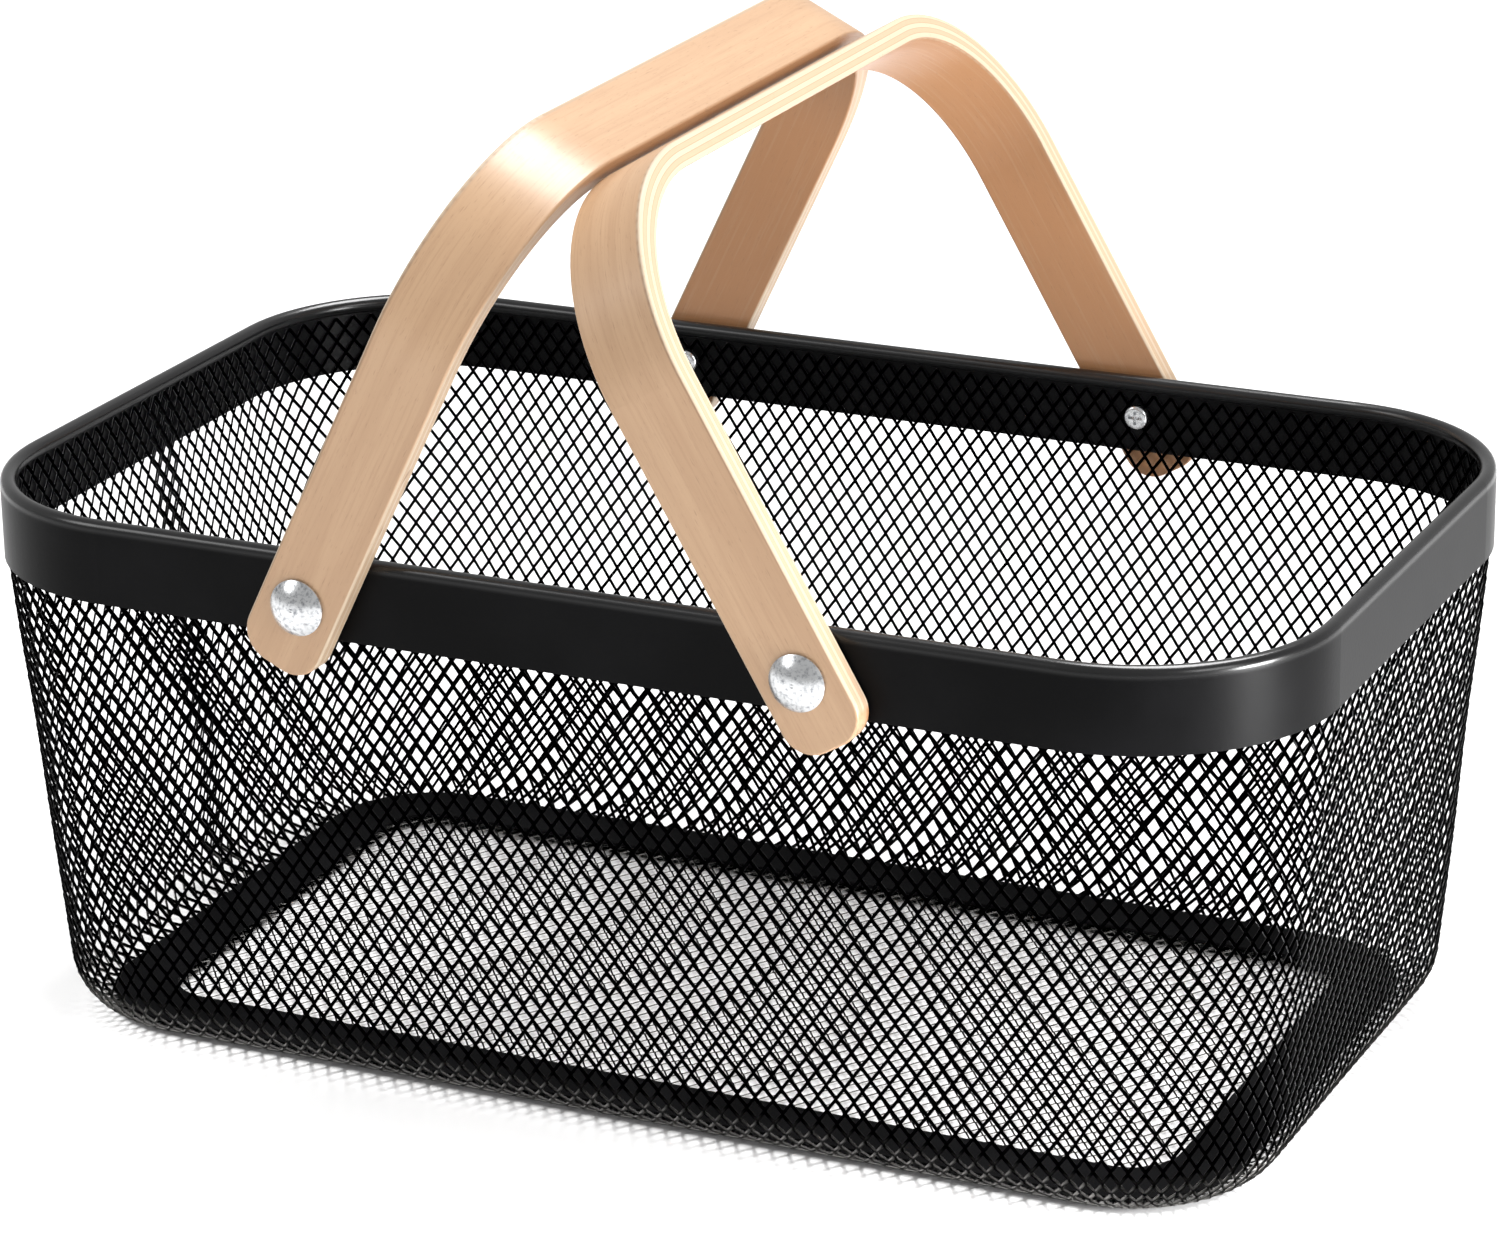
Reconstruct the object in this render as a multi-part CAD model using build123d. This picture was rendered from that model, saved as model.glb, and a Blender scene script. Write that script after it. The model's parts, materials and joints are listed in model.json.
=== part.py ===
"""Wire produce basket: an expanded-metal tub, a sheet-steel rim band and two swinging bent-wood handles.

Frame: +X along the long side, +Y towards the back, +Z up.
The origin is the centre of the footprint, on the surface that the basket stands on.  Units: millimetres.
"""
import os
from math import acos, atan2, degrees, hypot

from build123d import *

# ---------------------------------------------------------------- driving dimensions
# Tub and rim
rim_length = 400.0              # outside of the rim band, along X
rim_width = 238.0               # outside of the rim band, along Y
rim_height = 165.0              # top of the rim's bead above the standing surface
rim_corner_radius = 57.0        # outside plan radius of the band
wall_lean = 12.5                # how far each wall leans in from the band's bottom edge to the floor
mesh_thickness = 1.8            # overall thickness of the raised expanded metal
bottom_edge_radius = 18.0       # curl between the wall and the floor, on the outside
wall_flange = 10.0              # how far the wall's mesh runs in under the floor panel

# Rim band, a strip whose top edge is curled inwards round a wire
band_height = 24.0
band_sheet = 0.9
bead_radius = 2.4               # outside radius of the curl
wire_clearance = 0.1            # radial play of the wire in the curl
wall_below_bead = 0.8           # gap between the mesh's top edge and the curl

# Floor
floor_edge_gap = 1.0            # from the floor panel's edge to where the wall's curl begins
floor_band_outreach = 7.5       # how far the floor frame reaches past the flat bottom, over the curl
floor_band_width = 18.5
floor_band_sheet = 0.8

# Handles
handle_width = 24.0
handle_thickness = 7.5
handle_reach = 138.3            # from the pivot axis to the top of the cross bar
shoulder_radius = 54.0          # outside radius of the bend between a leg and the cross bar
handle_tail = 20.0              # wood below the pivot axis
tail_corner_radius = 9.0
handle_edge_round = 0.8
pivot_spacing = 149.0           # between the two handles' pivot axes, along X
pivot_below_rim = 12.5
handle_step = 5.2               # from the left bar's top down to the right bar's edge that rests on its side
handle_touch_gap = 0.3          # air between the two cross bars where they lean on each other

# Pivots: a domed post from outside, a screw from inside and a washer against the band
washer_thickness = 0.8
washer_radius = 6.5
handle_side_play = 0.12         # air on each side of the wood, along Y
post_head_radius = 8.0
post_head_rim = 0.7
post_head_rise = 3.0            # dome height above its rim
post_barrel_radius = 2.5
hole_running_clearance = 0.08   # radial, barrel in the wood
hole_fixed_clearance = 0.05     # radial, barrel in the band, the mesh and the washer
screw_shank_radius = 1.5
screw_shank_length = 6.0
screw_head_radius = 3.7
screw_head_height = 2.3
screw_edge_round = 1.1
cross_slot_width = 0.9
cross_slot_length = 4.2
cross_slot_depth = 1.3

# ---------------------------------------------------------------- derived places
band_bottom = rim_height - band_height
lean_angle = degrees(atan2(wall_lean, band_bottom))
bead_centre_height = rim_height - bead_radius
wall_top = rim_height - 2 * bead_radius - wall_below_bead
pivot_height = rim_height - pivot_below_rim
half_spacing = pivot_spacing / 2
band_face = rim_width / 2
wall_inner_face = band_face - band_sheet - mesh_thickness
handle_inner_face = band_face + washer_thickness + handle_side_play
handle_outer_face = handle_inner_face + handle_thickness
post_seat = handle_outer_face + handle_side_play

FAR = 2 * rim_length            # longer than anything here, for cutting tools


def handle_leans():
    """Leans of the left and right handle when the right bar's top edge rests on the left bar's side.

    The centre of that edge's rounding and the two pivot axes make a triangle with known sides.
    """
    beside_left = handle_width / 2 + handle_touch_gap + handle_edge_round
    up_left = handle_reach - handle_step
    beside_right = handle_width / 2 - handle_edge_round
    up_right = handle_reach - handle_edge_round
    from_left = hypot(beside_left, up_left)
    from_right = hypot(beside_right, up_right)
    uneven = from_left**2 - from_right**2
    at_left = acos((pivot_spacing**2 + uneven) / (2 * pivot_spacing * from_left))
    at_right = acos((pivot_spacing**2 - uneven) / (2 * pivot_spacing * from_right))
    left = 90 - degrees(at_left + atan2(beside_left, up_left))
    right = 90 - degrees(at_right + atan2(beside_right, up_right))
    return left, right


def rounded_plan(inset, height):
    """Plan outline of the rim, moved inwards, as a face at a height."""
    outline = RectangleRounded(rim_length - 2 * inset, rim_width - 2 * inset, rim_corner_radius - inset)
    return Pos(0, 0, height) * outline


def tub(inset, floor_level, top):
    """Solid inside the walls: upright behind the band, leaning in below it, rounded at the bottom edge."""
    upright = extrude(rounded_plan(band_sheet + inset, band_bottom), amount=top - band_bottom)
    depth = band_bottom - floor_level
    leaning = extrude(rounded_plan(band_sheet + inset, band_bottom), amount=-depth, taper=lean_angle)
    lowest = leaning.edges().group_by(Axis.Z)[0]
    leaning = fillet(lowest, bottom_edge_radius - inset)
    return upright + leaning


def floor_outline(inset, level, thickness):
    """Plate with the outline of the tub's flat bottom, moved inwards."""
    return extrude(rounded_plan(band_sheet + wall_lean + bottom_edge_radius + inset, level), amount=thickness)


def pivot_holes(radius):
    """Tools that drill both long sides at both handles' axes."""
    tools = []
    for side in (-1, 1):
        tools.append(Pos(side * half_spacing, 0, pivot_height) * Rot(90, 0, 0) * Cylinder(radius, FAR))
    return tools


def make_wall_mesh():
    """The tub's wall: one strip of expanded metal bent round, curled under and turned in below the floor."""
    shell = tub(0, 0, wall_top) - tub(mesh_thickness, mesh_thickness, wall_top + mesh_thickness)
    shell -= floor_outline(wall_flange, -mesh_thickness, 3 * mesh_thickness)
    for hole in pivot_holes(post_barrel_radius + hole_fixed_clearance):
        shell -= hole
    return shell


def make_floor_mesh():
    """Flat panel of expanded metal that lies on the wall's turned-in edge."""
    return floor_outline(floor_edge_gap, mesh_thickness, mesh_thickness)


def make_floor_band():
    """Flat steel frame that clamps the floor panel's edge to the wall and backs the start of the curl."""
    level = 2 * mesh_thickness
    inner_edge = floor_band_width - floor_band_outreach
    frame = floor_outline(-floor_band_outreach, level, floor_band_sheet)
    return frame - floor_outline(inner_edge, level - floor_band_sheet, 3 * floor_band_sheet)


def swept_round_rim(section, inset, height):
    """Sweep a section, drawn as (outwards, up) from the path, once round the rim."""
    path = rounded_plan(inset, height).face().outer_wire()
    start = path @ 0
    frame = Plane(origin=start, x_dir=(path % 0).cross(Vector(0, 0, 1)), z_dir=-(path % 0))
    return sweep(frame * section, path=path)


def make_rim_band():
    """Strip round the mesh's top edge, its own top edge curled inwards into a bead."""
    strip_length = band_height - bead_radius
    strip = Pos(-band_sheet / 2, -bead_radius - strip_length / 2) * Rectangle(band_sheet, strip_length)
    curl = Circle(bead_radius) - Circle(bead_radius - band_sheet)
    curl -= Pos(bead_radius / 2, -bead_radius / 2) * Rectangle(bead_radius, bead_radius)
    section = strip + Pos(-bead_radius, -bead_radius) * curl
    band = swept_round_rim(section, 0, rim_height)
    for hole in pivot_holes(post_barrel_radius + hole_fixed_clearance):
        band -= hole
    return band


def make_rim_wire():
    """Wire that the bead is curled round."""
    section = Circle(bead_radius - band_sheet - wire_clearance)
    return swept_round_rim(section, bead_radius, bead_centre_height)


def arch_outline(outset):
    """Filled outline of the upright handle's outside, or of its inside with a negative outset, as (y, z)."""
    half = handle_outer_face + outset
    top = handle_reach + outset
    radius = shoulder_radius + outset
    legs = Pos(0, (top - handle_tail) / 2) * Rectangle(2 * half, top + handle_tail)
    shoulders = legs.vertices().group_by(Axis.Y)[-1]
    return fillet(shoulders, radius)


def make_handle(side, lean):
    """Bent-wood bail: side is -1 for the left one, 1 for the right one; it leans towards the middle."""
    arch = arch_outline(0) - arch_outline(-handle_thickness)
    bail = extrude(Plane.YZ * arch, amount=handle_width / 2, both=True)
    tail_edges = bail.edges().filter_by(Axis.Y).group_by(Axis.Z)[0]
    bail = fillet(tail_edges, tail_corner_radius)
    faces = bail.faces().filter_by(Axis.X)
    rim_edges = faces[0].edges() + faces[-1].edges()
    bail = fillet(rim_edges, handle_edge_round)
    bail -= Rot(90, 0, 0) * Cylinder(post_barrel_radius + hole_running_clearance, FAR)
    return Pos(side * half_spacing, 0, pivot_height) * Rot(0, -side * lean, 0) * bail


def at_pivot(shape, side, front):
    """Put a piece, drawn along +Z outwards from the basket's centre plane, on a pivot axis."""
    turn = Rot(90, 0, 0) if front else Rot(-90, 0, 0)
    return Pos(side * half_spacing, 0, pivot_height) * turn * shape


def make_pivot_post():
    """Domed head and threaded barrel that a handle turns on."""
    rim = Pos(0, 0, post_seat + post_head_rim / 2) * Cylinder(post_head_radius, post_head_rim)
    dome_radius = (post_head_radius**2 + post_head_rise**2) / (2 * post_head_rise)
    dome = Pos(0, 0, post_seat + post_head_rim + post_head_rise - dome_radius) * Sphere(dome_radius)
    dome &= Pos(0, 0, post_seat + post_head_rim + post_head_rise / 2) * Cylinder(post_head_radius, post_head_rise)
    barrel_length = post_seat - wall_inner_face
    barrel = Pos(0, 0, wall_inner_face + barrel_length / 2) * Cylinder(post_barrel_radius, barrel_length)
    thread = Pos(0, 0, wall_inner_face + screw_shank_length / 2) * Cylinder(screw_shank_radius, screw_shank_length)
    return rim + dome + barrel - thread


def make_pivot_screw():
    """Cross-slotted pan-head screw that goes into the post from inside the basket."""
    head = Pos(0, 0, wall_inner_face - screw_head_height / 2) * Cylinder(screw_head_radius, screw_head_height)
    head = fillet(head.edges().group_by(Axis.Z)[0], screw_edge_round)
    slot_centre = wall_inner_face - screw_head_height + cross_slot_depth / 2
    for turn in (0, 90):
        head -= Pos(0, 0, slot_centre) * Rot(0, 0, turn) * Box(cross_slot_length, cross_slot_width, cross_slot_depth)
    shank = Pos(0, 0, wall_inner_face + screw_shank_length / 2) * Cylinder(screw_shank_radius, screw_shank_length)
    return head + shank


def make_washer():
    """Thin spacer that keeps the wood off the painted band."""
    ring = Cylinder(washer_radius, washer_thickness)
    ring -= Cylinder(post_barrel_radius + hole_fixed_clearance, 2 * washer_thickness)
    return Pos(0, 0, band_face + washer_thickness / 2) * ring


def all_pieces():
    """Every separate piece of the basket by name."""
    left_lean, right_lean = handle_leans()
    pieces = {
        "wall_mesh": make_wall_mesh(),
        "floor_mesh": make_floor_mesh(),
        "floor_band": make_floor_band(),
        "rim_band": make_rim_band(),
        "rim_wire": make_rim_wire(),
        "left_handle": make_handle(-1, left_lean),
        "right_handle": make_handle(1, right_lean),
    }
    for side, side_name in ((-1, "left"), (1, "right")):
        for front, end_name in ((True, "front"), (False, "back")):
            place = f"{end_name}_{side_name}"
            pieces[f"{place}_pivot_post"] = at_pivot(make_pivot_post(), side, front)
            pieces[f"{place}_pivot_screw"] = at_pivot(make_pivot_screw(), side, front)
            pieces[f"{place}_pivot_washer"] = at_pivot(make_washer(), side, front)
    return pieces


os.makedirs("parts", exist_ok=True)
for name, piece in all_pieces().items():
    export_step(piece, f"parts/{name}.step")
    print(name, "volume", round(piece.volume), "cubic mm")
print("handles lean", [round(lean, 2) for lean in handle_leans()], "degrees")
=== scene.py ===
# %% [markdown]
# # A wire produce basket
# The real basket is a strip of expanded steel mesh bent round into a tub, a panel of the same mesh for
# its floor, a sheet-steel band rolled over a wire at the rim, and two bent-plywood handles that swing on
# domed posts.  The design model already holds every size and every joint, so this lesson loads it first
# and never changes it.  It adds what a design model leaves out: the strands of the mesh and the finishes.

# %% Load the design model
import json
from math import atan2, cos, degrees, pi, radians, sin, sqrt, tan

import bpy
import numpy as np
from mathutils import Matrix, Vector


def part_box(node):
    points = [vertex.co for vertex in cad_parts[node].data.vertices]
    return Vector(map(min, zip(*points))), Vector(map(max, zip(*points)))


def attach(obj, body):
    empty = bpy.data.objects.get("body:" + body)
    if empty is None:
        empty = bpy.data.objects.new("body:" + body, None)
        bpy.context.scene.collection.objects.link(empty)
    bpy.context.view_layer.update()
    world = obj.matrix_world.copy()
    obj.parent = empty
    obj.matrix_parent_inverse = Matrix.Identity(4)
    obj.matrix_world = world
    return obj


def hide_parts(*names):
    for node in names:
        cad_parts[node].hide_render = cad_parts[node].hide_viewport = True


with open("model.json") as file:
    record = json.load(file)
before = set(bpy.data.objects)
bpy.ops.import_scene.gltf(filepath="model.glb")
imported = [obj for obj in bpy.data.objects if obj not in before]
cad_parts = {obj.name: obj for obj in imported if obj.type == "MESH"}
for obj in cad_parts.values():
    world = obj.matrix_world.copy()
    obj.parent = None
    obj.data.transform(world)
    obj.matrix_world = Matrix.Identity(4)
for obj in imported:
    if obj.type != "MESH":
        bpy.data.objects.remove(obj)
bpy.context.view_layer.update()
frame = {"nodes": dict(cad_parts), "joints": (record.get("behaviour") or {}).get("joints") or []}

MM = 0.001
nodes = frame["nodes"]

# %% [markdown]
# ## The viewpoint
# The basket is looked at from in front, a little to the right and about twenty degrees above, with a long
# lens.  A camera could be aimed with a constraint, but a matrix built from the azimuth, elevation and
# roll needs nothing else in the scene and stays put.

# %% Camera
view_azimuth = radians(25.41)
view_elevation = radians(19.99)
view_roll = radians(-0.944)
view_distance = 1.5234
view_target = Vector((0.0006, 0, 0.1174))
focal_length = 127.06

back_axis = Vector((
    sin(view_azimuth) * cos(view_elevation),
    -cos(view_azimuth) * cos(view_elevation),
    sin(view_elevation),
))
level_axis = Vector((cos(view_azimuth), sin(view_azimuth), 0))
rising_axis = back_axis.cross(level_axis)
right_axis = level_axis * cos(view_roll) + rising_axis * sin(view_roll)
up_axis = rising_axis * cos(view_roll) - level_axis * sin(view_roll)

camera_data = bpy.data.cameras.new("camera")
camera_data.lens = focal_length
camera_data.clip_end = 50
camera = bpy.data.objects.new("camera", camera_data)
bpy.context.scene.collection.objects.link(camera)
turn = Matrix((right_axis, up_axis, back_axis)).transposed().to_4x4()
camera.matrix_world = Matrix.Translation(view_target + back_axis * view_distance) @ turn
bpy.context.scene.camera = camera
print("camera at", [round(value, 3) for value in camera.matrix_world.translation])

# %% [markdown]
# ## Shader maths in Python
# A material is a graph of nodes, and long formulas are hard to read as a graph.  One small class wraps a
# socket so that `1 - mask` adds its own Math node, and one method adds any other node.  The settings of a
# node are set before its sockets are filled, because a setting can change which sockets it has.  Places
# are in metres, so a noise scale of 1000 makes features about a millimetre across.  The noise scales have
# names; a ramp's two numbers are where the noise, which runs from 0 to 1, starts and stops to count.

# %% A socket with arithmetic


class Signal:
    """One output socket of a material.  Arithmetic on it adds Math nodes."""

    def __init__(self, finish, socket):
        self.finish = finish
        self.socket = socket

    def __add__(self, other):
        return self.finish.maths("ADD", self, other)

    def __sub__(self, other):
        return self.finish.maths("SUBTRACT", self, other)

    def __rsub__(self, other):
        return self.finish.maths("SUBTRACT", other, self)

    def __mul__(self, other):
        return self.finish.maths("MULTIPLY", self, other)

    def __truediv__(self, other):
        return self.finish.maths("DIVIDE", self, other)

    def __abs__(self):
        return self.finish.maths("ABSOLUTE", self)

    def __mod__(self, other):
        return self.finish.maths("FLOORED_MODULO", self, other)

    __radd__ = __add__
    __rmul__ = __mul__

    def at_least(self, low):
        return self.finish.maths("MAXIMUM", self, low)

    def at_most(self, high):
        return self.finish.maths("MINIMUM", self, high)

    def ramp(self, start, end):
        """0 before start, 1 after end, smooth between them; start may be the larger one."""
        settings = {"interpolation_type": "SMOOTHSTEP"}
        sockets = {"Value": self, "From Min": min(start, end), "From Max": max(start, end)}
        rising = self.finish.node("MapRange", settings, sockets)
        return rising if start < end else 1 - rising


# %% A material that grows node by node
MIX_A, MIX_B, MIX_RESULT = 6, 7, 2     # the colour sockets of a Mix node


class Finish:
    """A material built from nodes round one Principled surface."""

    def __init__(self, name, **constants):
        self.material = bpy.data.materials.new(name)
        self.material.use_nodes = True
        self.tree = self.material.node_tree
        self.surface = self.tree.nodes["Principled BSDF"]
        for socket, value in constants.items():
            self.plug(self.surface.inputs[socket.replace("_", " ")], value)

    def plug(self, socket, value):
        if isinstance(value, Signal):
            self.tree.links.new(value.socket, socket)
        else:
            socket.default_value = value

    def node(self, kind, settings=None, sockets=None, output=0):
        """Any node: its settings first, then the values or links of its sockets."""
        made = self.tree.nodes.new("ShaderNode" + kind)
        for key, value in (settings or {}).items():
            setattr(made, key, value)
        for key, value in (sockets or {}).items():
            self.plug(made.inputs[key], value)
        return Signal(self, made.outputs[output])

    def maths(self, operation, *values):
        return self.node("Math", {"operation": operation}, dict(enumerate(values)))

    def set(self, socket, value):
        self.plug(self.surface.inputs[socket], value)

    def place(self):
        """Where a point is in the basket's own frame at rest, as a vector in metres."""
        return self.node("TexCoord", output="Object")

    def split(self, vector):
        """The x, y and z of a vector."""
        return [self.node("SeparateXYZ", sockets={0: vector}, output=axis) for axis in range(3)]

    def join(self, x, y, z):
        return self.node("CombineXYZ", sockets={0: x, 1: y, 2: z})

    def noise(self, vector, scale, detail, roughness=0.5, distortion=0.0):
        sockets = {"Vector": vector, "Scale": scale, "Detail": detail}
        sockets.update({"Roughness": roughness, "Distortion": distortion})
        return self.node("TexNoise", sockets=sockets)

    def mix(self, factor, first, second):
        """The first colour where the factor is 0, the second where it is 1."""
        sockets = {0: factor, MIX_A: first, MIX_B: second}
        return self.node("Mix", {"data_type": "RGBA"}, sockets, MIX_RESULT)

    def bump(self, height, distance, strength):
        sockets = {"Height": height, "Distance": distance, "Strength": strength}
        self.set("Normal", self.node("Bump", sockets=sockets))


# %% Painting pieces of the design model


def paint(finish, *names):
    """Give carried-over nodes a finish."""
    for name in names:
        for holder in nodes[name].material_slots:
            holder.material = finish.material
    print(finish.material.name, "on", ", ".join(names))


# %% [markdown]
# ## The powder coat
# Powder coat is melted on: it is black, satin rather than glossy, and has a very fine orange peel.  Dust
# and light rubbing make its roughness uneven.  A plain dark colour would look like plastic, so the
# roughness and the bump carry the detail, at the real scale of less than a millimetre.  The coat flows
# together and shines along the curled bead, which a second clear layer shows.

# %% Powder coat for the solid sheet parts
coat_black = (0.002, 0.002, 0.0022, 1)
coat_dusty = (0.005, 0.005, 0.0055, 1)
peel_depth = 0.06 * MM
cloud_scale, peel_scale, speck_scale = 22, 900, 2600
bead_foot, bead_crown = [corner.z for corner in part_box("rim_wire")]


def powder_coat(name, roughness, shine):
    """Satin black powder coat with orange peel, cloudy rubbing and specks, glossier along the bead."""
    finish = Finish(name, Specular_IOR_Level=shine, Coat_Roughness=0.22)
    place = finish.place()
    height = finish.split(place)[2]
    clouds = finish.noise(place, cloud_scale, 4)
    peel = finish.noise(place, peel_scale, 3)
    specks = finish.noise(place, speck_scale, 1).ramp(0.72, 0.8)
    finish.set("Base Color", finish.mix(clouds.ramp(0.35, 0.75), coat_black, coat_dusty))
    finish.set("Roughness", roughness + (clouds - 0.5) * 0.16 + specks * 0.12)
    finish.set("Coat Weight", height.ramp(bead_foot, bead_crown))
    finish.bump(peel + specks * 0.6, peel_depth, 0.35)
    return finish


paint(powder_coat("black_powder_coat_band", 0.34, 0.06), "rim_band")
paint(powder_coat("black_powder_coat_floor_frame", 0.5, 0.02), "floor_band")

# %% [markdown]
# ## The expanded metal
# The maker slits a steel sheet and pulls it open, so each row of strands is one zigzag ribbon, joined to
# the row above and to the row below at the knots between the diamonds.  Pulling also tips every ribbon
# a little.  A picture of diamonds or a lattice of round wire would miss both, so the ribbons are modelled:
# flat strips with four sides, tipped, running round the tub.  First come the sizes.  The outer ones are
# read from the design model's boxes; the radii, the wall's lean and its flange repeat that model's values.

# %% Sizes of the tub
band_low, band_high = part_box("rim_band")
wall_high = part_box("wall_mesh")[1]
floor_low, floor_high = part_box("floor_mesh")
half_length = band_high.x
half_width = band_high.y
corner_radius = 57 * MM
curl_radius = 18 * MM
wall_lean = 12.5 * MM
wall_flange = 10 * MM
band_sheet = half_length - wall_high.x
core_x = half_length - corner_radius
core_y = half_width - corner_radius
print("corner centres, millimetres:", round(core_x / MM, 1), round(core_y / MM, 1))

# %% The tub's profile, from the mesh's top edge down and in under the floor
lean_angle = atan2(wall_lean, band_low.z)
middle = 0.45 * MM             # from the plain sheet's outside in to the middle of the thinner strands
curl_middle = curl_radius - middle
curl_inset = band_sheet + wall_lean * (1 - curl_radius / band_low.z) + curl_radius / cos(lean_angle)
flange_end = band_sheet + wall_lean + curl_radius + wall_flange
curl_points = 25
bend_half = MM                 # half the height of the bend at the band's lower edge


def profile_table():
    """Rows of depth down the mesh, inset from the band's outside, height, and the normal's elevation."""
    top_inset = band_sheet + middle
    rows = [(top_inset, wall_high.z, 0.0), (top_inset, band_low.z + bend_half, 0.0)]
    rows.append((top_inset, band_low.z - bend_half, -lean_angle))
    for angle in np.linspace(lean_angle, pi / 2, curl_points):
        inset = curl_inset - curl_middle * cos(angle)
        rows.append((inset, curl_radius - curl_middle * sin(angle), -angle))
    rows.append((flange_end, middle, -pi / 2))
    table = np.array(rows)
    steps = np.hypot(np.diff(table[:, 0]), np.diff(table[:, 1]))
    depth = np.concatenate([[0], np.cumsum(steps)])
    return np.column_stack([depth, table])


profile = profile_table()
mesh_depth = profile[-1, 0]
print("the mesh strip is", round(mesh_depth / MM, 1), "mm deep")

# %% [markdown]
# Across the tub the unit is one column of diamonds, counted from the back end of the left side, past the
# front and the right side, to the back.  A place on the mesh is then a column, a depth down the strip from
# the band, and a distance outwards, and one function turns those three into a point.

# %% The tub's plan, counted in columns of diamonds
columns_long, columns_short, columns_corner = 53, 23, 15
side_columns = [columns_short, columns_corner, columns_long, columns_corner] * 2
side_ends = np.concatenate([[0], np.cumsum(side_columns)])
columns_round = side_ends[-1]
core_path = np.array([
    (-core_x, core_y), (-core_x, -core_y), (-core_x, -core_y), (core_x, -core_y), (core_x, -core_y),
    (core_x, core_y), (core_x, core_y), (-core_x, core_y), (-core_x, core_y),
])
facing = np.radians([180, 180, 270, 270, 360, 360, 450, 450, 540])
column_width = 2 * core_x / columns_long
print("columns round the rim:", columns_round, "each", round(column_width / MM, 2), "mm wide")


def on_tub(column, depth, proud):
    """Points on the tub's mesh: column round it, depth down it, proud of its middle surface."""
    lap = np.mod(column, columns_round)
    core = [np.interp(lap, side_ends, core_path[:, axis]) for axis in (0, 1)]
    heading = np.interp(lap, side_ends, facing)
    inset, height, elevation = [np.interp(depth, profile[:, 0], profile[:, axis]) for axis in (1, 2, 3)]
    reach = corner_radius - inset + proud * np.cos(elevation)
    x = core[0] + reach * np.cos(heading)
    y = core[1] + reach * np.sin(heading)
    return np.stack([x, y, height + proud * np.sin(elevation)], axis=-1)


# %% [markdown]
# ## Weaving the ribbons
# One ribbon runs between two rows of knots.  At an upper knot it is the lower half of that knot, and at a
# lower knot it is the upper half, so it swings down and in, then up and out, half a diamond at a time.
# Its section is a flat rectangle whose top edge is tipped inwards, and it is mitred at the knots, so that a
# strand is equally wide all the way.  The corner normals are leaned towards the broad faces, as paint
# rounds the cut edges of the steel, which needs no extra faces.

# %% Ribbon sizes
row_height = 7.7 * MM          # from one knot to the next one down
strand_width = 0.95 * MM
strand_thickness = 0.4 * MM
strand_tilt = radians(14)
floor_row_height = 6.8 * MM
floor_strand_width = 0.5 * MM
floor_strand_thickness = 0.28 * MM
knot_half = 0.05               # half a knot's length, in columns
SECTION = ((1, 1), (1, -1), (-1, -1), (-1, 1))     # a strand's corners: up or down, out or in
edge_rounding = 0.5            # how far a corner's normal leans towards the cut edge
print("strands", round(strand_width / MM, 2), "mm wide, diamonds", round(row_height / MM, 2), "mm high")

# %% One panel's cut


class Cut:
    """How one panel was slit and pulled: its rows, its tipped strands and how they waver."""

    def __init__(self, row_height, width, thickness, top, sway):
        self.row_height, self.top, self.sway = row_height, top, sway
        self.half_up = width / 2 * cos(strand_tilt)
        self.half_in = width / 2 * sin(strand_tilt)
        self.through_up = thickness / 2 * sin(strand_tilt)
        self.through_out = thickness / 2 * cos(strand_tilt)
        self.swing = row_height / 4 - self.half_up
        slope = atan2(2 * self.swing, column_width * (0.5 - 2 * knot_half))
        self.mitre = self.half_up * tan(slope / 2) / column_width


# %% One ribbon's corners and normals


def ribbon(place, span, row, cut):
    """Section corners and normals of one zigzag ribbon, as arrays of sections by four corners."""
    halves = np.arange(int(np.ceil(2 * span[0])), int(np.floor(2 * span[1])) + 1)
    knot_end = np.tile([-1.0, 1.0], len(halves))
    column = np.repeat(halves / 2, 2) + knot_end * knot_half
    swing = np.repeat(np.where((halves + row) % 2 == 0, 1.0, -1.0), 2)
    depth = cut.top + (row + 0.5) * cut.row_height / 2 - swing * cut.swing
    proud = swing * cut.half_in + cut.sway(column, depth)
    middle_line = place(column, depth, proud)
    along = np.gradient(middle_line, axis=0)
    corners, normals = [], []
    for across, through in SECTION:
        shift = across * swing * knot_end * cut.mitre
        up = across * cut.half_up + through * cut.through_up
        out = through * cut.through_out - across * cut.half_in
        corners.append(place(column + shift, depth - up, proud + out))
    width_way = corners[0] + corners[1] - corners[2] - corners[3]
    face_way = np.cross(along, width_way)
    width_way /= np.linalg.norm(width_way, axis=1, keepdims=True)
    face_way /= np.linalg.norm(face_way, axis=1, keepdims=True)
    for across, through in SECTION:
        normal = through * face_way + across * edge_rounding * width_way
        normals.append(normal / np.linalg.norm(normal, axis=1, keepdims=True))
    return np.stack(corners, axis=1), np.stack(normals, axis=1)


# %% Many ribbons joined into one piece


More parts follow.
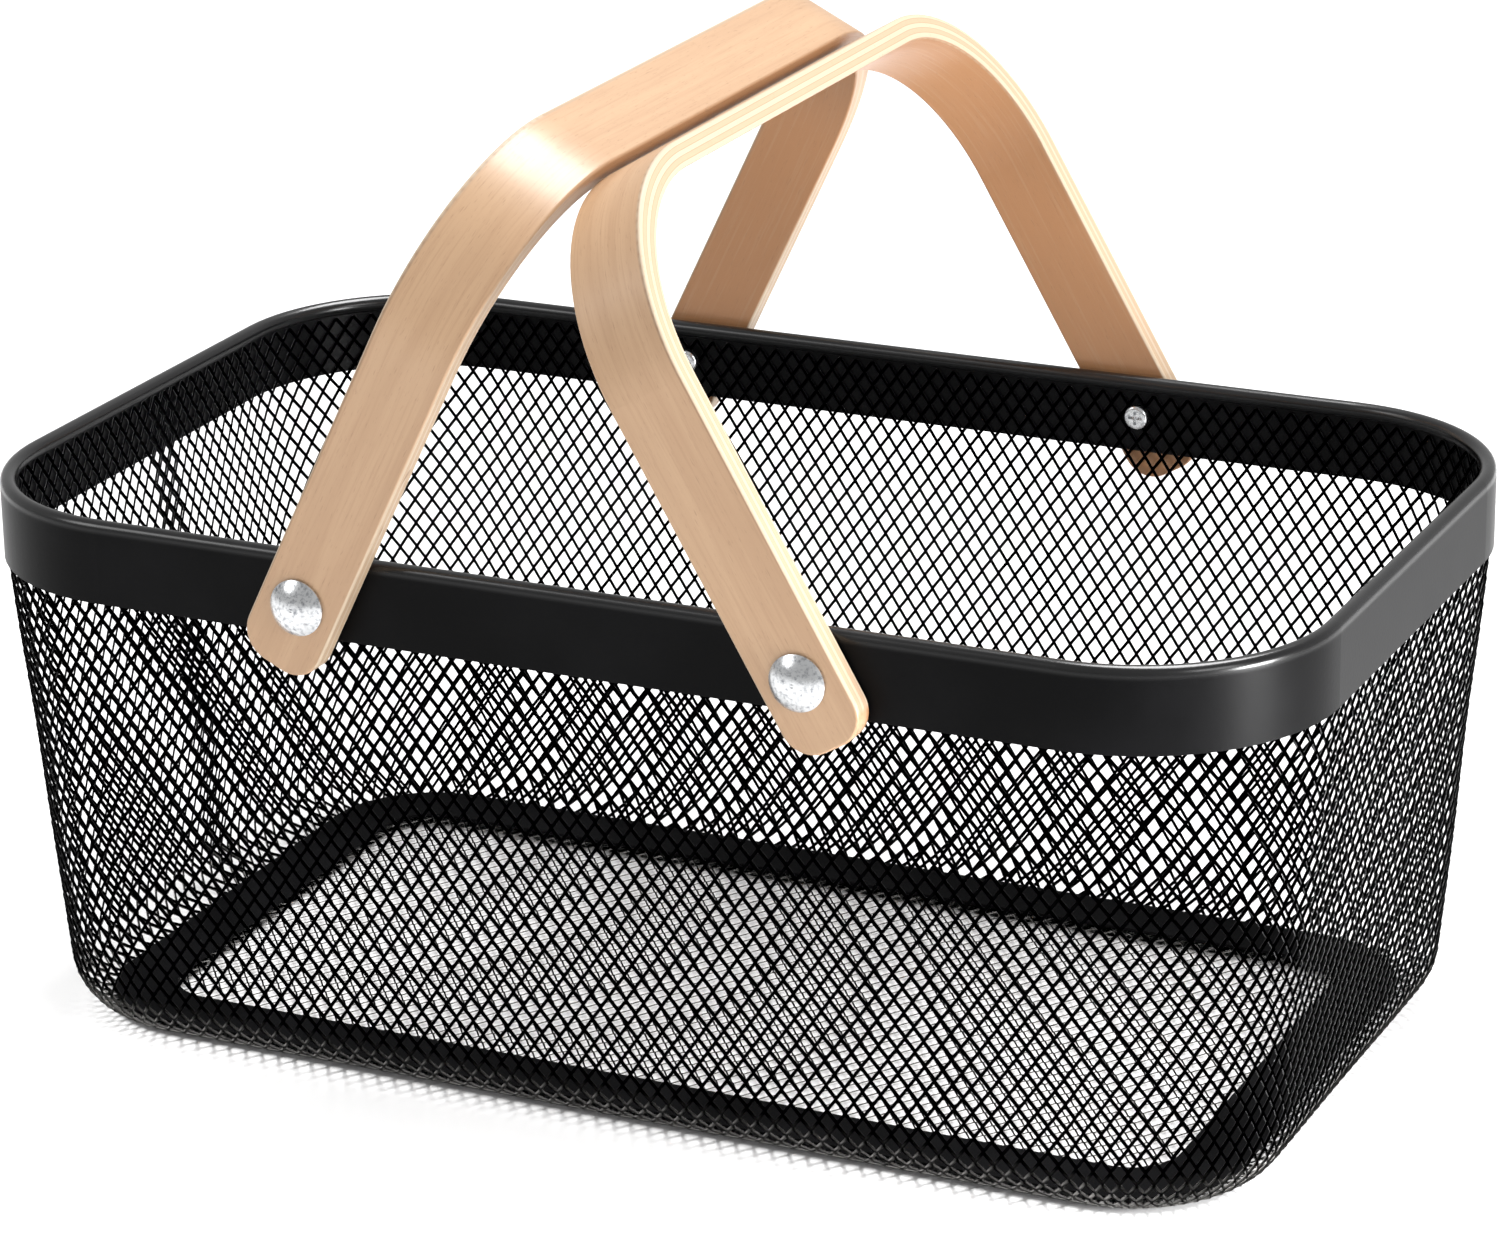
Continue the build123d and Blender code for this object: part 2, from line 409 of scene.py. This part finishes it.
def ribbons_to_piece(name, ribbons):
    """One mesh object from many ribbons, each closed at both ends."""
    points, normals, faces, start = [], [], [], 0
    for corners, turns in ribbons:
        sections = len(corners)
        points.append(corners.reshape(-1, 3))
        normals.append(turns.reshape(-1, 3))
        ring = start + 4 * np.arange(sections - 1)[:, None]
        for side in range(4):
            after = (side + 1) % 4
            quad = np.array([side, after, after + 4, side + 4])
            faces.append(ring + quad)
        far = start + 4 * (sections - 1)
        near_end = [start + 3, start + 2, start + 1, start]
        faces.append(np.array([near_end, [far, far + 1, far + 2, far + 3]]))
        start += 4 * sections
    mesh = bpy.data.meshes.new(name)
    mesh.from_pydata(np.concatenate(points).tolist(), [], np.concatenate(faces).tolist())
    mesh.polygons.foreach_set("use_smooth", [True] * len(mesh.polygons))
    mesh.normals_split_custom_set_from_vertices(np.concatenate(normals).tolist())
    piece = bpy.data.objects.new(name, mesh)
    bpy.context.scene.collection.objects.link(piece)
    print(name, len(mesh.vertices), "points", 2 * len(mesh.polygons), "triangles")
    return piece


# %% [markdown]
# Pulled metal is never quite even, so the wall wavers by a fraction of a millimetre where nothing holds
# it.  The strip's end laps over its start on the left side.  There the diamonds are doubled and slightly
# out of step, and the end slips in behind the start.

# %% The seam, and the slight unevenness of pulled metal
band_depth = wall_high.z - band_low.z
seam_column = 8.9              # where the strip's two ends meet, on the left end
seam_overlap = 2.5
seam_slip = 0.1                # how far the doubled diamonds are out of step
seam_step = 0.45 * MM          # how far the strip's end lies behind its start
step_columns = 1.5             # the columns in which it steps in
wave_height = 0.16 * MM


def wall_sway(column, depth):
    """Waviness that dies out at the band and at the floor, and the step inwards at the seam."""
    free = np.clip((depth - band_depth) / (4 * row_height), 0, 1)
    free *= np.clip((mesh_depth - wall_flange - depth) / (4 * row_height), 0, 1)
    wave = np.sin(0.31 * column + 60 * depth) + 0.6 * np.sin(0.13 * column - 95 * depth + 1.7)
    lap_over = np.clip((column - columns_round) / step_columns + 1, 0, 1)
    return wave_height * free * wave - seam_step * lap_over


def strip_place(column, depth, proud):
    """The strip starts at the seam and comes round to lap over its own start, slightly out of step."""
    return on_tub(column * columns_round / (columns_round + seam_slip) + seam_column, depth, proud)


# %% [markdown]
# All the strands of the strip in one piece would be heavy to handle, so they are made in five runs, parted
# at the seam and where each of the four sides ends.  All five stand in for the design model's plain wall.

# %% The wall's strands, in five runs that follow one another round the tub
wall_rows = int(2 * mesh_depth / row_height)
wall_top = 0.4 * MM
strip_end = columns_round + seam_overlap
turns_at = [0, *np.ceil(side_ends[1::2] - seam_column), strip_end]
run_names = ["left_front", "front", "right", "back", "left"]
wall_cut = Cut(row_height, strand_width, strand_thickness, wall_top, wall_sway)
strand_pieces = []
for name, span in zip(run_names, zip(turns_at, turns_at[1:])):
    rows = [ribbon(strip_place, span, row, wall_cut) for row in range(wall_rows)]
    piece = ribbons_to_piece(name + "_wall_strands", rows)
    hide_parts("wall_mesh")
    strand_pieces.append(piece)

# %% [markdown]
# The floor panel lies flat, so its columns and depths go straight to x and y.  Each row is as long as the
# panel's rounded outline lets it be.

# %% The floor panel's strands, cut to the rounded outline
floor_half_x, floor_half_y = floor_high.x, floor_high.y
floor_corner = floor_half_x - core_x
floor_level = (floor_low.z + floor_high.z) / 2
edge_trim = MM


def on_floor(column, depth, proud):
    height = np.full(np.shape(column), floor_level) + proud
    return np.stack([column * column_width, floor_half_y - depth, height], axis=-1)


def floor_reach(y):
    """Half the length of the panel at a distance from its centre line."""
    into_corner = max(0.0, abs(y) - core_y)
    return core_x + sqrt(max(0.0, floor_corner**2 - into_corner**2))


def lie_flat(column, depth):
    return np.zeros(np.shape(column))


floor_cut = Cut(floor_row_height, floor_strand_width, floor_strand_thickness, 0, lie_flat)
floor_rows = []
for row in range(int(4 * floor_half_y / floor_row_height)):
    y = floor_half_y - (row + 0.5) * floor_row_height / 2
    edge = (floor_reach(abs(y) + floor_row_height / 4) - edge_trim) / column_width
    floor_rows.append(ribbon(on_floor, (-edge, edge), row, floor_cut))
floor_piece = ribbons_to_piece("floor_strands", floor_rows)
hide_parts("floor_mesh")
strand_pieces.append(floor_piece)

# %% [markdown]
# ## The mesh's finish
# The same powder coat lies thinner on the cut edges of the strands, where the steel shines through as tiny
# bright points, mostly at the knots.  A fine noise with a high threshold gives those points, and they are
# less rough and a little metallic.  Round the bottom curl the strands are painted light grey in patches up
# to
# a set height above the table: a painted reflection of the white floor close below them.

# %% Powder coat on the strands
bare_steel = (0.42, 0.43, 0.45, 1)
floor_reflection_grey = (0.75, 0.73, 0.70, 1)
reflection_top, reflection_foot = 16 * MM, 8 * MM
grain_depth = 0.05 * MM
dust_scale, rub_scale, reflection_patch_scale, grain_scale = 40, 700, 260, 1500


def strand_coat():
    finish = Finish("black_powder_coat_strands", Specular_IOR_Level=0.4)
    place = finish.place()
    clouds = finish.noise(place, dust_scale, 3)
    rubbed = finish.noise(place, rub_scale, 2).ramp(0.7, 0.78) * clouds.ramp(0.45, 0.65)
    height = finish.split(place)[2]
    # Light grey patches low on the bottom curl: a painted reflection of the white floor close below the
    # strands.
    reflection_patches = finish.noise(place, reflection_patch_scale, 3).ramp(0.2, 0.5)
    painted_floor_reflection = height.ramp(reflection_top, reflection_foot) * reflection_patches
    coat = finish.mix(painted_floor_reflection * 0.9, finish.mix(clouds, coat_black, coat_dusty), floor_reflection_grey)
    finish.set("Base Color", finish.mix(rubbed, coat, bare_steel))
    finish.set("Metallic", rubbed * 0.8)
    finish.set("Roughness", 0.3 + (clouds - 0.5) * 0.2)
    finish.bump(finish.noise(place, grain_scale, 2), grain_depth, 0.3)
    return finish


strand_finish = strand_coat()
for piece in strand_pieces:
    piece.data.materials.append(strand_finish.material)
    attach(piece, "tub")

# %% [markdown]
# ## The bent plywood
# Each handle is a stack of veneers glued round a former.  The broad faces show one veneer with the grain
# running along the bow; the narrow edges show every layer as a line.  Both need to know where a point is
# along the bow and how deep it is below the outer face, so the shader works those two out from the arch's
# own shape: a rounded rectangle's signed distance gives the depth, and a leg, an arc and a bar laid end
# to end give the way along.

# %% Handle sizes
handle_sides = {"left_handle": -1, "right_handle": 1}
hinges = {joint["child"]: Vector(joint["pos_m"]) for joint in frame["joints"]}
handle_width = 24 * MM
handle_reach = 138.3 * MM
handle_thickness = 7.5 * MM
handle_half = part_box("left_handle")[1].y
shoulder_radius = 54 * MM
ply_count = 5
ply = handle_thickness / ply_count
edge_begins = handle_width / 2 - 0.9 * MM      # how far across the face's veneer begins to give way
edge_full = handle_width / 2 - 0.35 * MM       # and how far across only the edge's layers are left


def handle_lean(name, side):
    """How far a handle leans, from the height of its cross bar."""
    pivot = hinges[name + "_swing"]
    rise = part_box(name)[1].z - pivot.z
    tip_reach = sqrt(handle_reach**2 + (handle_width / 2) ** 2)
    return np.arccos(min(1.0, rise / tip_reach)) + atan2(handle_width / 2, handle_reach)


def bow_places(finish, name, side):
    """Signals for the way along the bow, across its width, and the depth below its outer face."""
    pivot = hinges[name + "_swing"]
    lean = -side * handle_lean(name, side)
    x, y, z = finish.split(finish.place())
    from_x, from_z = x - pivot.x, z - pivot.z
    up = from_x * sin(lean) + from_z * cos(lean)
    across = from_x * cos(lean) - from_z * sin(lean)
    sideways = abs(y) - (handle_half - shoulder_radius)
    above = up - (handle_reach - shoulder_radius)
    round_x, round_z = sideways.at_least(0), above.at_least(0)
    corner = finish.maths("SQRT", round_x * round_x + round_z * round_z)
    depth = shoulder_radius - corner - sideways.at_least(above).at_most(0)
    swept = finish.maths("ARCTAN2", round_z, round_x)
    run = above.at_most(0) + swept * shoulder_radius - sideways.at_most(0)
    half_bow = shoulder_radius * pi / 2 + handle_half - shoulder_radius
    return finish.maths("SIGN", y) * (half_bow - run), across, depth


for name, side in handle_sides.items():
    print(name, "leans", round(degrees(handle_lean(name, side)), 2), "degrees")

# %% [markdown]
# The wood itself is birch: pale, with fine pores, long soft figure and a warm lacquer.  Stretched noise
# gives the figure, finer stretched noise the pores, and the depth picks which veneer an edge shows.  Deep
# below the outer face, on the inside of the bow, the face is painted a darker, warmer brown as painted
# shade.

# %% Plywood
birch_light = (0.515, 0.33, 0.195, 1)
birch_dark = (0.40, 0.235, 0.13, 1)
shaded_inner_brown = (0.34, 0.155, 0.062, 1)
birch_edge = (0.49, 0.385, 0.275, 1)
glue_line = (0.30, 0.16, 0.08, 1)
pore_dark = (0.22, 0.11, 0.05, 1)
pore_depth = 0.12 * MM
figure_scale, streak_scale, pore_scale, fibre_scale, knot_scale = 130, 1100, 3000, 900, 160


def plywood(name, side, seed):
    """Birch whose figure, streaks and pores are noise drawn out along the bow."""

    def drawn_out(stretch):
        return finish.join(along * stretch + seed, across, depth)

    finish = Finish("bent_plywood_" + name, Coat_Roughness=0.25, Coat_IOR=1.5, Specular_IOR_Level=0.45)
    along, across, depth = bow_places(finish, name, side)
    figure_place = finish.join(along * 0.06 + seed, across, depth * 0.5)
    figure = finish.noise(figure_place, figure_scale, 3, 0.55, 1.2)
    streaks = finish.noise(drawn_out(0.03), streak_scale, 2, 0.6)
    pores = finish.noise(drawn_out(0.09), pore_scale, 2).ramp(0.62, 0.72)
    fibres = finish.noise(drawn_out(1), fibre_scale, 3).ramp(0.6, 0.75)
    knots = finish.noise(drawn_out(0.35), knot_scale, 1).ramp(0.76, 0.79)
    face = finish.mix(figure.ramp(0.3, 0.72) * 0.45, birch_light, birch_dark)
    # Painted shade: the inner face of the bow, which the lights barely reach, is mixed towards a darker
    # brown.
    inner_face_shade = depth.ramp(handle_thickness * 0.6, handle_thickness * 0.9)
    face = finish.mix(inner_face_shade * 0.85, face, shaded_inner_brown)
    face = finish.mix(streaks.ramp(0.48, 0.72) * 0.4, face, birch_dark)
    face = finish.mix(pores * 0.35, face, pore_dark)
    layer = depth / ply
    seam = abs(layer % 1 - 0.5).ramp(0.42, 0.49)
    end_grain = (layer % 2 - 1).ramp(-0.02, 0.02)
    edge = finish.mix(end_grain * 0.5, birch_edge, birch_dark)
    edge = finish.mix(seam * 0.8, edge, glue_line)
    edge = finish.mix(fibres * 0.25, edge, birch_dark)
    edge = finish.mix(knots * 0.8, edge, pore_dark)
    on_edge = abs(across).ramp(edge_begins, edge_full)
    finish.set("Base Color", finish.mix(on_edge, face, edge))
    finish.set("Roughness", 0.42 + on_edge * 0.18 + (figure - 0.5) * 0.12)
    finish.set("Coat Weight", 0.35 - on_edge * 0.2)
    finish.bump(streaks * 0.5 + pores * -0.7 + seam * on_edge * -1, pore_depth, 0.35)
    return finish


for turn, (name, side) in enumerate(handle_sides.items()):
    paint(plywood(name, side, seed=0.7 * turn + 0.35), name)

# %% [markdown]
# ## The pivots
# The domed posts and the screws are bright zinc: a mirror with a fine mottle, and turning marks round the
# axis.  The mottle from the plating bath goes into roughness and bump; in the colour its dark grey patches
# are painted dark reflections.  The turning marks go only into bump.  Distance from the hinge's axis places
# the marks.

# %% Bright zinc
zinc_bright = (0.74, 0.75, 0.76, 1)
dark_reflection_grey = (0.22, 0.23, 0.25, 1)
ring_radius = 0.9 * MM         # the small ring at the middle of a dome
turning_depth = 0.1 * MM
reflection_mottle_scale, turning_scale = 850, 5200


def bright_zinc(name, hinge):
    finish = Finish(name, Metallic=1.0)
    place = finish.place()
    x, _, z = finish.split(place)
    off_x, off_z = x - hinge.x, z - hinge.z
    radius = finish.maths("SQRT", off_x * off_x + off_z * off_z)
    mottle_and_dark_reflections = finish.noise(place, reflection_mottle_scale, 3, 0.6)
    turning = finish.noise(finish.join(radius, 0, 0), turning_scale, 2)
    centre_ring = abs(radius - ring_radius).ramp(0.35 * MM, 0.12 * MM)
    # Painted reflections: the mottle's dark grey patches in the colour stand in for dark reflections on the
    # zinc.
    finish.set("Base Color", finish.mix(mottle_and_dark_reflections.ramp(0.42, 0.78), zinc_bright, dark_reflection_grey))
    finish.set("Roughness", 0.16 + mottle_and_dark_reflections * 0.14)
    finish.bump(mottle_and_dark_reflections * 0.6 + turning * 0.25 - centre_ring * 0.8, turning_depth, 0.4)
    return finish


for side in ("left", "right"):
    zinc = bright_zinc("bright_zinc_" + side, hinges[side + "_handle_swing"])
    ends = ["front_" + side, "back_" + side]
    paint(zinc, *[end + "_pivot_post" for end in ends], *[end + "_pivot_screw" for end in ends])

# %% [markdown]
# ## The hidden pieces
# The washers between wood and band are moulded nylon, and the bead is rolled round a drawn steel wire.
# Both are nearly out of sight, so a grain and a few scratches are enough.

# %% Nylon washers and the rim's hidden wire
nylon_dark, nylon_light = (0.018, 0.018, 0.018, 1), (0.035, 0.035, 0.036, 1)
steel_dark, steel_light = (0.35, 0.35, 0.36, 1), (0.52, 0.52, 0.53, 1)
nylon_grain_scale, scratch_scale = 1800, 1400


def nylon():
    finish = Finish("black_nylon_washers", Specular_IOR_Level=0.4)
    grain = finish.noise(finish.place(), nylon_grain_scale, 2)
    finish.set("Base Color", finish.mix(grain, nylon_dark, nylon_light))
    finish.set("Roughness", 0.5 + grain * 0.2)
    finish.bump(grain, grain_depth, 0.3)
    return finish


def drawn_wire():
    finish = Finish("plain_steel_wire_drawn", Metallic=1.0)
    scratches = finish.noise(finish.place(), scratch_scale, 3)
    finish.set("Base Color", finish.mix(scratches, steel_dark, steel_light))
    finish.set("Roughness", 0.35 + scratches * 0.2)
    finish.bump(scratches, grain_depth, 0.3)
    return finish


paint(nylon(), *[name for name in nodes if name.endswith("_washer")])
paint(drawn_wire(), "rim_wire")

# %% [markdown]
# ## Floor and light
# A white floor with broad soft lights, as for a catalogue: one large light above and behind, which lights
# the rim's bead and the tops of the handles, and weaker ones in front.

# %% Floor
floor_size = 8
sweep_white = (0.9, 0.9, 0.9, 1)
reach = floor_size / 2
sweep_corners = [(-reach, -reach, 0), (reach, -reach, 0), (reach, reach, 0), (-reach, reach, 0)]
sweep_finish = Finish("white_sweep", Specular_IOR_Level=0.3, Roughness=0.35, Base_Color=sweep_white)
sweep_mesh = bpy.data.meshes.new("sweep")
sweep_mesh.from_pydata(sweep_corners, [], [(0, 1, 2, 3)])
sweep_mesh.materials.append(sweep_finish.material)
stage = bpy.data.objects.new("sweep", sweep_mesh)
bpy.context.scene.collection.objects.link(stage)
print("floor", floor_size, "m square")

# %% Lights
aim_height = 0.12


def soft_light(name, place, size, power):
    """A square area light that faces the basket."""
    data = bpy.data.lights.new(name, "AREA")
    data.shape = "SQUARE"
    data.size = size
    data.energy = power
    lamp = bpy.data.objects.new(name, data)
    aim = Vector(place) - Vector((0, 0, aim_height))
    lamp.matrix_world = Matrix.Translation(place) @ aim.to_track_quat("Z", "Y").to_matrix().to_4x4()
    bpy.context.scene.collection.objects.link(lamp)
    print(name, "light,", power, "W")


soft_light("overhead", (0.1, 0.7, 2.2), 1.2, 74)
soft_light("front_left", (-1.6, -1.5, 1.6), 1.0, 14)
soft_light("front_right", (1.9, -0.9, 1.2), 0.9, 12)
soft_light("low_right", (0.62, -0.13, 0.12), 0.16, 6)

# %% The studio's white walls, as an even world
world = bpy.data.worlds.new("studio")
world.use_nodes = True
background = world.node_tree.nodes["Background"]
background.inputs["Color"].default_value = (1, 1, 1, 1)
background.inputs["Strength"].default_value = 0.5
bpy.context.scene.world = world
bpy.context.scene.view_settings.view_transform = "Standard"
